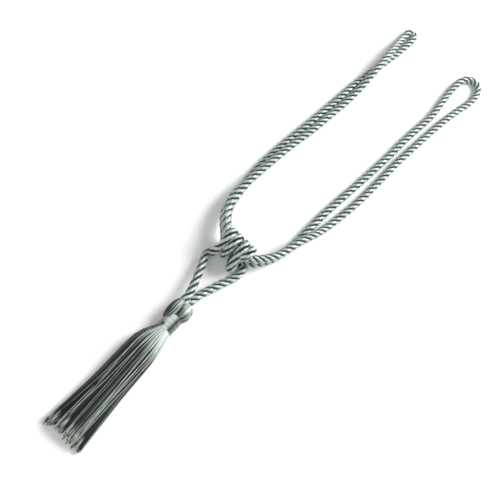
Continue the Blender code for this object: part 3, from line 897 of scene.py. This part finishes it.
def make_head_body():
    """A ball, drawn out lengthwise and smoothed, that fills the head under its yarns."""
    select_none()
    bpy.ops.mesh.primitive_uv_sphere_add(
        segments=40, ring_count=24, radius=1.0, location=to_world(HEAD_BODY_PLACE)
    )
    ball = bpy.context.object
    ball.name = "tassel_head_body"
    ball.scale = [half * MM for half in HEAD_BODY_HALF]
    bpy.ops.object.transform_apply(location=True, rotation=True, scale=True)
    bpy.ops.object.shade_smooth()
    ball.data.materials.append(HEAD_YARN)
    return ball


head_body = make_head_body()
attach(head_body, "root")
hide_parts("tassel_yarn")
print("the head's body has", len(head_body.data.polygons), "faces")

# %% [markdown]
# ## The skirt
#
# Below the neck the yarns are free. They come out of the band in a round bundle, spring up and
# out to a shoulder, and settle on the table in a low, widening heap with a ragged end. Combed
# hair would be Blender's own way, but only a mesh can be exported, so each yarn is a thin tube of
# four sides. A table gives the heap's section along its length, and each yarn is told where in
# the section it runs, so that no two yarns tangle.

# %% The heap's sections
SKIRT = [  # y, middle x, base z, half width, height, flat: 0 for round and 1 for flat below
    (-133.6, -4.2, 1.5, 5.0, 10.2, 0.0),
    (-135.4, -4.2, 0.5, 6.0, 12.1, 0.0),
    (-138.0, -4.5, 0.2, 6.7, 13.3, 0.1),
    (-143.0, -5.1, 0.1, 8.8, 14.4, 0.6),
    (-150.0, -5.2, 0.0, 10.4, 15.0, 0.9),
    (-158.0, -5.0, 0.0, 10.9, 14.4, 1.0),
    (-170.0, -4.5, 0.0, 11.1, 12.8, 1.0),
    (-186.0, -3.8, 0.0, 11.4, 10.6, 1.0),
    (-208.0, -3.2, 0.0, 12.9, 8.4, 1.0),
    (-228.0, -2.8, 0.0, 14.5, 6.6, 1.0),
]
ROOT_Y = -133.6
SKIRT_END_Y = -225.6
CROWN_DROP = 0.80  # how far the heap's top falls away towards its sides


def section_at(y):
    """x, base, half width, height and flatness of the heap at y."""
    ys = [-row[0] for row in SKIRT]
    return [float(np.interp(-y, ys, [row[i] for row in SKIRT])) for i in range(1, 6)]


def in_heap(u, v, y):
    """The plan point at (u, v), each from -1 to 1, in the heap's section at y."""
    x, base, wide, high, flat = section_at(y)
    round_u = u * math.sqrt(max(0.0, 1 - v * v / 2))
    round_v = v * math.sqrt(max(0.0, 1 - u * u / 2))
    crown = math.sqrt(max(0.0, 1 - CROWN_DROP * u * u))
    across = round_u + (u - round_u) * flat
    up_round = (1 + round_v) / 2
    up_flat = crown * (1 + v) / 2
    return (x + wide * across, y, base + high * (up_round + (up_flat - up_round) * flat))


def on_edge(p):
    """The point at p, from 0 to 4, round the square from (-1, -1) by way of the top."""
    p %= 4.0
    if p < 1:
        return -1.0, 2 * p - 1
    if p < 2:
        return 2 * (p - 1) - 1, 1.0
    if p < 3:
        return 1.0, 1 - 2 * (p - 2)
    return 1 - 2 * (p - 3), -1.0


print("the skirt is", round(2 * section_at(-158.0)[2], 1), "mm wide where it is highest")

# %% [markdown]
# ## Light and dark in the skirt
#
# A loose yarn is bright in two places: where it bends over the shoulder towards the light, and at
# its tip, where the twist has opened and the fibres stand apart. Between them it lies in the
# others' shade. Lights alone can't show this on threads that are thinner than a pixel, so the
# brightness is written on the points, and the material reads it.

# %% Bright ends
SHOULDER_FROM = -143.0  # the y where a yarn starts to darken, mm
SHOULDER_FADE = 20.0  # and the length over which it does
# The shoulder's lift and the tip's lift are painted highlight, added to a yarn's shade number.
SHOULDER_LIFT = 2.7
LEFT_SHOULDER = 0.2  # the shoulder's left side turns away from the light
OPENED_END = 6.0  # length of the opened tip, mm
TIP_HIGHLIGHT_LIFT = 3.6


def from_0_to_1(value):
    return min(1, max(0, value))


def bright_ends(y, tip, place):
    """How much painted highlight a yarn gets near the band, most of all on the right, and at its
    tip.
    """
    shoulder = 1 - between(0, 1, from_0_to_1((SHOULDER_FROM - y) / SHOULDER_FADE))
    right = between(LEFT_SHOULDER, 1, from_0_to_1(place - 1.0))
    opened = between(0, 1, from_0_to_1((tip + OPENED_END - y) / OPENED_END))
    return SHOULDER_LIFT * shoulder * right, TIP_HIGHLIGHT_LIFT * opened


print("by the band's right side a yarn's shade grows by", bright_ends(ROOT_Y, SKIRT_END_Y, 2.0)[0])

# %% [markdown]
# ## One yarn of the skirt
#
# A yarn keeps its place in the heap's section from the band to its tip, but for a slow drift and
# a gentle wave. Some yarns were cut a little longer, and the tips curl aside. All of them could be
# copies of one yarn, but then each would bend alike, so every one is swept afresh. Its rings lie
# closer together near the band, because the yarn bends most over the shoulder.

# %% A yarn from the band to its tip
RAGGED = 1.8  # how far a tip lies short of the skirt's end or past it, mm
LONGER = 3.2  # a few yarns were cut up to this much longer
LONGER_SHARE = 0.15
CURL = 1.4  # how far aside a tip may curl
CURL_FROM = 0.92  # share of the length where it begins
CURL_OVER = 0.08
STATIONS = 16
CROWDED = 1.35  # above 1 the stations lie closer together near the band
TIP_TAPER = 0.7
THREAD_SIDES = 4


def skirt_thread(rng, place, drift, wave, depth, radius, shade, takes_light, deep=0.0, tip_light=0.3):
    """A yarn that starts at place on the heap's edge, and strays along it by drift and wave.
    depth: 1 on the surface. takes_light and the last argument: how much painted highlight it gets
    at the shoulder and at the tip."""
    tip = SKIRT_END_Y + rng.uniform(-RAGGED, RAGGED)
    if rng.random() < LONGER_SHARE:
        tip -= LONGER * rng.random()
    curl = rng.uniform(-CURL, CURL) * rng.random() ** 2
    size, phase, waves = wave
    line, shades = [], []
    for step in range(STATIONS):
        share = (step / (STATIONS - 1)) ** CROWDED
        y = ROOT_Y + (tip - ROOT_Y) * share
        p = place + drift * share + size * math.sin(phase + waves * 2 * math.pi * share)
        u, v = on_edge(p)
        x, y, z = in_heap(u * depth, v * depth, y)
        end = max(0.0, (share - CURL_FROM) / CURL_OVER)
        line.append((x + curl * end * end, y, max(z, radius)))
        shoulder, opened = bright_ends(y, tip, place)
        # painted highlight over the shoulder and at the tip
        shades.append(shade + takes_light * shoulder + tip_light * opened)
    taper = np.ones(STATIONS)
    taper[-1] = TIP_TAPER
    return thread_tube(np.array(line), radius, THREAD_SIDES, shades, taper, deep)


print("a yarn of the skirt is about", round(ROOT_Y - SKIRT_END_Y), "mm long")

# %% [markdown]
# ## Locks and strays
#
# Loose yarns cling together. The skirt's surface has 104 narrow locks of five yarns with valleys
# between them, some more yarns fill the inside, and a few thin pale ones stray across the others.
# Each lock has a tone of its own. If it were left to chance alone, light locks would gather into
# broad patches. So the tones go round in steps of a fixed share, which spreads them evenly, and
# chance only nudges them.

# %% The locks
LOCKS = 104
YARNS_IN_LOCK = 5
THREAD_RADIUS = 0.34
LOCK_SPREAD = 0.62  # of the space between two locks, each way from a lock's middle
LOCK_DRIFT = (-0.035, 0.035)  # along the heap's edge, which is 4 long
LOCK_WAVE = (0, 0.012)
LOCK_WAVES = (0.5, 1.2)  # from the band to the tip
ANY_PHASE = (0, 6.28)  # a wave may start anywhere
NUDGE = 0.25  # the most that chance adds to a step
TONE_STRIDE = 0.618
LIGHT_STRIDE = 0.382
TIP_LIGHT_STRIDE = 0.707
DARKEST_LOCK = -0.38
TONE_RANGE = 0.72
TIP_LIGHT_RARELY = 2.5  # above 1 only a few locks get a strong painted highlight at their tips
print("the skirt's surface has", LOCKS, "locks and", LOCKS * YARNS_IN_LOCK, "yarns")

# %% The yarns of a lock
SURFACE = 0.98  # of the heap's size
LOCK_SUNK = 0.04  # a lock lies up to this much lower, of the heap's size
VALLEY_DROP = 0.06  # the yarns at a lock's edge lie lower still
YARN_SUNK = 0.03  # and each of its yarns up to this much more
YARN_SIZES = (0.85, 1.1)
YARN_TONES = (-0.25, 0.35)
YARN_DRIFT = (-0.03, 0.03)
LIGHT_SHARES = (0.7, 0.3)  # the lock's own part in how a yarn takes the light, and the yarn's
TIP_LIGHT_SHARES = (0.85, 0.15)  # and in how much painted highlight its tip gets
VALLEY_SHADE = 0.9


def spread_evenly(index, stride, rng):
    """A number from 0 to 1 that differs well from its neighbours'."""
    return (index * stride + NUDGE * rng.random()) % 1.0


def lock_tubes(rng):
    """The locks on the heap's surface, from the left side over the top and back below."""
    tubes = []
    for lock in range(LOCKS):
        drift = rng.uniform(*LOCK_DRIFT)
        wave = (rng.uniform(*LOCK_WAVE), rng.uniform(*ANY_PHASE), rng.uniform(*LOCK_WAVES))
        sunk = LOCK_SUNK * rng.random()
        tone = DARKEST_LOCK + TONE_RANGE * spread_evenly(lock, TONE_STRIDE, rng)
        lock_light = spread_evenly(lock, LIGHT_STRIDE, rng)
        lock_tip_light = spread_evenly(lock, TIP_LIGHT_STRIDE, rng) ** TIP_LIGHT_RARELY
        for yarn in range(YARNS_IN_LOCK):
            aside = 2 * (yarn + 0.5) / YARNS_IN_LOCK - 1
            place = 4 * (lock + 0.5 + LOCK_SPREAD * aside) / LOCKS
            valley = abs(aside) ** 3
            depth = SURFACE - sunk - VALLEY_DROP * valley - YARN_SUNK * rng.random()
            radius = THREAD_RADIUS * rng.uniform(*YARN_SIZES)
            shade = rng.uniform(*YARN_TONES) + tone
            stray = drift + rng.uniform(*YARN_DRIFT)
            light = LIGHT_SHARES[0] * lock_light + LIGHT_SHARES[1] * rng.random()
            tip_light = TIP_LIGHT_SHARES[0] * lock_tip_light + TIP_LIGHT_SHARES[1] * rng.random()
            # painted shade in the valleys between locks
            deep = VALLEY_SHADE * valley
            tubes.append(
                skirt_thread(rng, place, stray, wave, depth, radius, shade, light, deep, tip_light)
            )
    return tubes


rng = random.Random(11)
yarns = lock_tubes(rng)
print("made", len(yarns), "yarns on the surface")

# %% Inner yarns and strays
INNER_THREADS = 150
INNER_RADIUS = THREAD_RADIUS * 1.2
INNER_WAVE = 0.04
INNER_DEPTHS = (0.2, 0.85)  # of the heap's size
INNER_LIGHT = 0.2
STRAY_THREADS = 24
STRAY_RADIUS = 0.14
STRAY_DEPTH = 1.01  # just outside the surface
STRAY_FROM = 0.7  # they start along this part of the heap's edge
STRAY_SPAN = 1.6
STRAY_WAVE = (0, 0.02)
STRAY_WAVES = (0.3, 0.8)
STRAY_DRIFT = (-0.25, 0.25)
STRAY_TONES = (0.8, 1.6)
STRAY_LIGHT = 0.6


def inner_tubes(rng):
    """Yarns that fill the heap's inside."""
    tubes = []
    for _ in range(INNER_THREADS):
        wave = (INNER_WAVE, rng.uniform(*ANY_PHASE), 1.0)
        depth = rng.uniform(*INNER_DEPTHS)
        place = rng.uniform(0, 4)
        # the inner yarns get the darkest shade, as painted shade inside the heap
        tubes.append(skirt_thread(rng, place, 0.0, wave, depth, INNER_RADIUS, 0.0, INNER_LIGHT))
    return tubes


def stray_tubes(rng):
    """Thin pale yarns that cross the others on the heap's top."""
    tubes = []
    for index in range(STRAY_THREADS):
        wave = (rng.uniform(*STRAY_WAVE), rng.uniform(*ANY_PHASE), rng.uniform(*STRAY_WAVES))
        place = STRAY_FROM + STRAY_SPAN * (index + rng.random()) / STRAY_THREADS
        drift = rng.uniform(*STRAY_DRIFT)
        shade = rng.uniform(*STRAY_TONES)
        tubes.append(
            skirt_thread(
                rng, place, drift, wave, STRAY_DEPTH, STRAY_RADIUS, shade, STRAY_LIGHT
            )
        )
    return tubes


yarns += inner_tubes(rng)
yarns += stray_tubes(rng)
print("with the inner ones and the strays there are", len(yarns))

# %% The whole skirt
skirt = bundle_mesh("tassel_skirt", yarns, SKIRT_YARN)
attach(skirt, "root")
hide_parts("tassel_yarn")

# %% [markdown]
# ## The neck band
#
# The neck is bound with a fine, glossy floss, wound close round the yarn from top to bottom. A
# cylinder with stripes would have a flat edge. A Screw modifier makes the band as the hand does:
# a small circle, the floss, is carried round the neck and down one pitch a turn, which gives real
# grooves between the turns.

# %% Wind the floss
BAND_X = -4.1  # these are plan millimetres
BAND_Z = 6.5
BAND_TOP_Y = -122.6
BAND_LENGTH = 13.2
BAND_RADIUS = 5.9
FLOSS_RADIUS = 0.34  # about the finest whose turns still show
FLOSS_SIDES = 8
FLOSS_TURNS = 22
STEPS_IN_TURN = 56
SAME_POINT = 0.000001  # m; points nearer than this are one


def wind_band():
    """The floss as one closed coil, wound upright at the origin and then laid along the tassel."""
    select_none()
    pitch = (BAND_LENGTH - 2 * FLOSS_RADIUS) / FLOSS_TURNS
    bpy.ops.mesh.primitive_circle_add(
        vertices=FLOSS_SIDES,
        radius=FLOSS_RADIUS * MM,
        fill_type="NOTHING",
        location=((BAND_RADIUS - FLOSS_RADIUS) * MM, 0, 0),
        rotation=(math.pi / 2, 0, 0),
    )
    floss = bpy.context.object
    floss.name = "neck_band_floss"
    bpy.ops.object.transform_apply(location=True, rotation=True, scale=True)
    winding = floss.modifiers.new("winding", "SCREW")
    winding.axis = "Z"
    winding.angle = 2 * math.pi
    winding.screw_offset = pitch * MM
    winding.iterations = FLOSS_TURNS
    winding.steps = STEPS_IN_TURN
    winding.render_steps = STEPS_IN_TURN
    bpy.ops.object.modifier_apply(modifier="winding")
    bpy.ops.object.mode_set(mode="EDIT")
    bpy.ops.mesh.select_all(action="SELECT")
    bpy.ops.mesh.remove_doubles(threshold=SAME_POINT)
    bpy.ops.mesh.select_all(action="DESELECT")
    bpy.ops.mesh.select_non_manifold()
    bpy.ops.mesh.edge_face_add()
    bpy.ops.mesh.select_all(action="SELECT")
    bpy.ops.mesh.normals_make_consistent(inside=False)
    bpy.ops.object.mode_set(mode="OBJECT")
    floss.rotation_euler = (math.pi / 2, 0, 0)
    floss.location = to_world((BAND_X, BAND_TOP_Y - FLOSS_RADIUS, BAND_Z))
    bpy.ops.object.transform_apply(location=True, rotation=True, scale=True)
    bpy.ops.object.shade_smooth()
    floss.data.materials.append(WOUND_FLOSS)
    return floss


band = wind_band()
print("the band has", len(band.data.polygons), "faces")

# %% [markdown]
# ## Marks on the band
#
# The same two numbers that the yarns carry are written on the floss's points. Each turn has a
# shade of its own, and all are palest along one gleam, which is a painted highlight. A dark stripe
# of painted shade runs down the band's right side, and near the lower end there is a dark spot of
# painted shadow. A painted image could hold these too, but a soft hump round an angle needs only
# its middle and its width.

# %% Mark the floss
FLOSS_TONES = (0.35, 0.9)
# The gleam is a painted highlight on the floss's points.
GLEAM_DEGREES = 105.0  # from the table's right, round over the top
GLEAM_HALF = 26.0
GLEAM_LIFT = 1.0
BESIDE_GLEAM = 0.45  # taken off everywhere
# A stripe of painted shade, and below it a spot of painted shadow near the band's lower end.
SHADE_STRIPE_DEGREES = 63.0
SHADE_STRIPE_HALF = 11.0
SHADE_STRIPE_DEPTH = 0.65
SPOT_DEGREES = 126.0
SPOT_HALF = 15.0
SPOT_TURN = FLOSS_TURNS - 5
SPOT_TURNS = 3
SPOT_DEPTH = 0.6


def mark_floss(floss):
    """Write shade and deep on the floss's points, and a UV place along it."""
    mesh = floss.data
    middle = to_world((BAND_X, BAND_TOP_Y, BAND_Z))
    places = np.array([vertex.co for vertex in mesh.vertices])
    degrees = np.degrees(np.arctan2(places[:, 2] - middle.z, places[:, 0] - middle.x))
    down = (middle.y - places[:, 1]) / MM
    turn = np.floor(down / (BAND_LENGTH / FLOSS_TURNS)).astype(int)
    rng = random.Random(5)
    tones = np.array([rng.uniform(*FLOSS_TONES) for _ in range(FLOSS_TURNS + 2)])
    gleam = np.exp(-(((degrees - GLEAM_DEGREES) / GLEAM_HALF) ** 2))
    shade = tones[np.clip(turn, 0, FLOSS_TURNS + 1)] - BESIDE_GLEAM + GLEAM_LIFT * gleam
    # painted shade along a stripe, and a spot of painted shadow
    shade_stripe = np.exp(-(((degrees - SHADE_STRIPE_DEGREES) / SHADE_STRIPE_HALF) ** 2))
    off_spot = ((degrees - SPOT_DEGREES) / SPOT_HALF) ** 2 + ((turn - SPOT_TURN) / SPOT_TURNS) ** 2
    deep = SHADE_STRIPE_DEPTH * shade_stripe + SPOT_DEPTH * np.exp(-off_spot)
    write_numbers(mesh, {"shade": shade, "deep": deep})
    around = (degrees + 90) % 360 / 360 * 2 * math.pi * BAND_RADIUS
    layer = mesh.uv_layers.new(name="UVMap")
    corner = np.array([loop.vertex_index for loop in mesh.loops])
    uv = np.stack([down[corner], around[corner]], axis=1) / UV_MM
    layer.data.foreach_set("uv", uv.reshape(-1))


mark_floss(band)
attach(band, "root")
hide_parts("neck_band")
band_ys = [vertex.co.y for vertex in band.data.vertices]
print("the band's ends lie at y", in_mm([min(band_ys), max(band_ys)]), "mm")

# %% [markdown]
# ## The table
#
# The tieback lies on white matt paper that is lit so well that it comes out pure white, with only
# faint shadows close to the rope. Lights strong enough for that would bleach the rope too. So the
# paper gives off a very faint light of its own, which lifts it to white and thins its shadows.

# %% The table
PAPER_WHITE = "#FAFAFA"
PAPER_ROUGHNESS = 0.9
PAPER_GLOW = 0.10
TABLE_SIZE = 8.0  # m, far wider than what the camera sees
select_none()
bpy.ops.mesh.primitive_plane_add(size=TABLE_SIZE, location=(0, 0, 0))
table = bpy.context.object
table.name = "white_table"
# Matt paper gives the eye no gleam at all, only an even white.
table_paint = bpy.data.materials.new("white_matt_paper")
table_paint.use_nodes = True
paper = table_paint.node_tree.nodes["Principled BSDF"].inputs
paper["Base Color"].default_value = linear(PAPER_WHITE)
paper["Roughness"].default_value = PAPER_ROUGHNESS
paper["Emission Color"].default_value = linear("#FFFFFF")
paper["Emission Strength"].default_value = PAPER_GLOW
table.data.materials.append(table_paint)
table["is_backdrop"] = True
print("the table is", TABLE_SIZE, "m wide")

# %% [markdown]
# ## The light
#
# The photographer's light is large and soft and comes from behind and from the right, so the
# ropes' left sides are dark and their shadows short and faint. A sun lamp's shadows would be too
# sharp. A square area light makes the soft gleams, a second one reaches the right-hand sides, and
# a weak one in front keeps the near sides from going black. A dim white sky fills in the rest.

# %% The lights
LIGHT_DISTANCE = 1.6  # m
SKY_STRENGTH = 0.25


def add_area_light(name, direction, size, power):
    """A square light that shines on the tieback's middle from the given direction."""
    data = bpy.data.lights.new(name, "AREA")
    data.shape = "SQUARE"
    data.size = size
    data.energy = power
    light = bpy.data.objects.new(name, data)
    bpy.context.scene.collection.objects.link(light)
    way = Vector(direction).normalized()
    light.location = way * LIGHT_DISTANCE
    light.rotation_euler = (-way).to_track_quat("-Z", "Y").to_euler()
    print(name, "shines with", power, "W")


add_area_light("key_softbox", direction=(0.35, 0.65, 0.70), size=0.9, power=30.0)
add_area_light("side_softbox", direction=(0.85, 0.70, 0.50), size=0.8, power=6.5)
add_area_light("front_fill", direction=(-0.25, -0.85, 0.60), size=1.2, power=7.5)
world = bpy.data.worlds.new("white_studio")
bpy.context.scene.world = world
world.use_nodes = True
sky = world.node_tree.nodes["Background"].inputs
sky["Color"].default_value = linear("#FFFFFF")
sky["Strength"].default_value = SKY_STRENGTH
# The Standard view transform leaves white as it is; the usual one would turn the paper grey.
bpy.context.scene.view_settings.view_transform = "Standard"
print("the sky's strength is", SKY_STRENGTH)

# %% Measure and finish
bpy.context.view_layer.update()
print("the dressed model measures", in_mm(high - low for low, high in zip(*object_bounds())), "mm")
